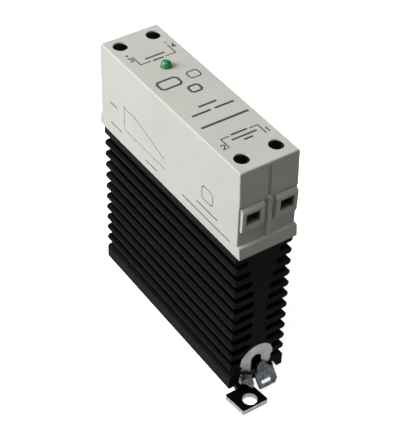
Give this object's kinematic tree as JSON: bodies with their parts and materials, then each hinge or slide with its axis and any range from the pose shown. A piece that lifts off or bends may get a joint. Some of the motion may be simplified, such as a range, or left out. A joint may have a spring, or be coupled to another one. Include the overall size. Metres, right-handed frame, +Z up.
{
  "type": "solid state relay",
  "caption": "Slim solid state relay with a finned heat sink, screw clamp terminals at both ends, a status lamp, a sprung rail latch and two panel mounting ears.",
  "frame": {"origin": "bottom centre, on the plane of the mounting ears", "axes": "+Z up to the label face, X across the 22.5 mm module width, Y along the length with the output terminals and rail latch at -Y"},
  "size_m": [0.0254, 0.1, 0.1024],
  "materials": {
    "anodised_aluminium": "black anodised extrusion, satin, with fine draw lines; bare on the machined spot face",
    "housing_plastic": "light grey moulded plastic, fine texture",
    "plated_steel": "zinc-plated turned steel",
    "zinc_steel": "bluish zinc-plated formed sheet",
    "cage_steel": "dark passivated formed sheet",
    "black_steel": "black coated steel sheet with bright sheared edges",
    "spring_steel": "drawn spring wire",
    "copper": "rolled copper",
    "tinned_copper": "tin-plated copper strip",
    "ceramic": "white alumina",
    "silicon": "metallised silicon",
    "thermal_pad": "soft grey silicone",
    "board_laminate": "green solder mask on glass laminate",
    "black_epoxy": "moulded black epoxy",
    "resistor_coat": "lacquered resistor body",
    "capacitor_case": "yellow moulded case",
    "varistor_coat": "blue dipped coating",
    "lamp_lens": "green tinted clear epoxy"
  },
  "bodies": {
    "housing": {"heat_sink": "anodised_aluminium", "terminal_base": "housing_plastic", "top_cover": "housing_plastic", "base_screws": "plated_steel", "thermal_pad": "thermal_pad", "heat_spreader": "copper", "ceramic_substrate": "ceramic", "thyristor_dies": "silicon", "output_bar_left": "tinned_copper", "output_bar_right": "tinned_copper", "input_bar_left": "tinned_copper", "input_bar_right": "tinned_copper", "gate_pins": "tinned_copper", "control_board": "board_laminate", "optocoupler": "black_epoxy", "limiter_transistor": "black_epoxy", "input_resistors": "resistor_coat", "snubber_resistor": "resistor_coat", "snubber_capacitor": "capacitor_case", "varistor": "varistor_coat", "status_led": "lamp_lens", "front_bracket": "black_steel", "rear_bracket": "black_steel", "bracket_screws": "plated_steel", "latch_spring": "spring_steel", "spring_stop": "black_steel"},
    "latch": {"rail_latch": "zinc_steel"},
    "screw_1": {"clamp_screw_1": "plated_steel"},
    "cage_1": {"clamp_cage_1": "cage_steel"},
    "screw_2": {"clamp_screw_2": "plated_steel"},
    "cage_2": {"clamp_cage_2": "cage_steel"},
    "screw_3": {"clamp_screw_3": "plated_steel"},
    "cage_3": {"clamp_cage_3": "cage_steel"},
    "screw_4": {"clamp_screw_4": "plated_steel"},
    "cage_4": {"clamp_cage_4": "cage_steel"}
  },
  "joints": [
    {"name": "latch_pull", "type": "slide", "parent": "housing", "child": "latch", "axis": [0, -1, 0], "range_m": [0, 0.0035], "stiffness_N_per_m": 1200, "springref_m": -0.0025, "deforming": ["latch_spring"]},
    {"name": "screw_turn_1", "type": "hinge", "parent": "housing", "child": "screw_1", "pos_m": [0.0065, -0.0342, 0.09], "axis": [0, 0, -1], "range_deg": [0, 2340]},
    {"name": "cage_lift_1", "type": "slide", "parent": "housing", "child": "cage_1", "axis": [0, 0, 1], "range_m": [0, 0.00455]},
    {"name": "screw_turn_2", "type": "hinge", "parent": "housing", "child": "screw_2", "pos_m": [-0.0065, -0.0342, 0.09], "axis": [0, 0, -1], "range_deg": [0, 2340]},
    {"name": "cage_lift_2", "type": "slide", "parent": "housing", "child": "cage_2", "axis": [0, 0, 1], "range_m": [0, 0.00455]},
    {"name": "screw_turn_3", "type": "hinge", "parent": "housing", "child": "screw_3", "pos_m": [-0.0065, 0.0357, 0.09], "axis": [0, 0, -1], "range_deg": [0, 2340]},
    {"name": "cage_lift_3", "type": "slide", "parent": "housing", "child": "cage_3", "axis": [0, 0, 1], "range_m": [0, 0.00455]},
    {"name": "screw_turn_4", "type": "hinge", "parent": "housing", "child": "screw_4", "pos_m": [0.0065, 0.0357, 0.09], "axis": [0, 0, -1], "range_deg": [0, 2340]},
    {"name": "cage_lift_4", "type": "slide", "parent": "housing", "child": "cage_4", "axis": [0, 0, 1], "range_m": [0, 0.00455]}
  ],
  "couplings": [
    {"joint": "screw_turn_1", "follows": "cage_lift_1", "rad_per_m": 8976},
    {"joint": "screw_turn_2", "follows": "cage_lift_2", "rad_per_m": 8976},
    {"joint": "screw_turn_3", "follows": "cage_lift_3", "rad_per_m": 8976},
    {"joint": "screw_turn_4", "follows": "cage_lift_4", "rad_per_m": 8976}
  ]
}
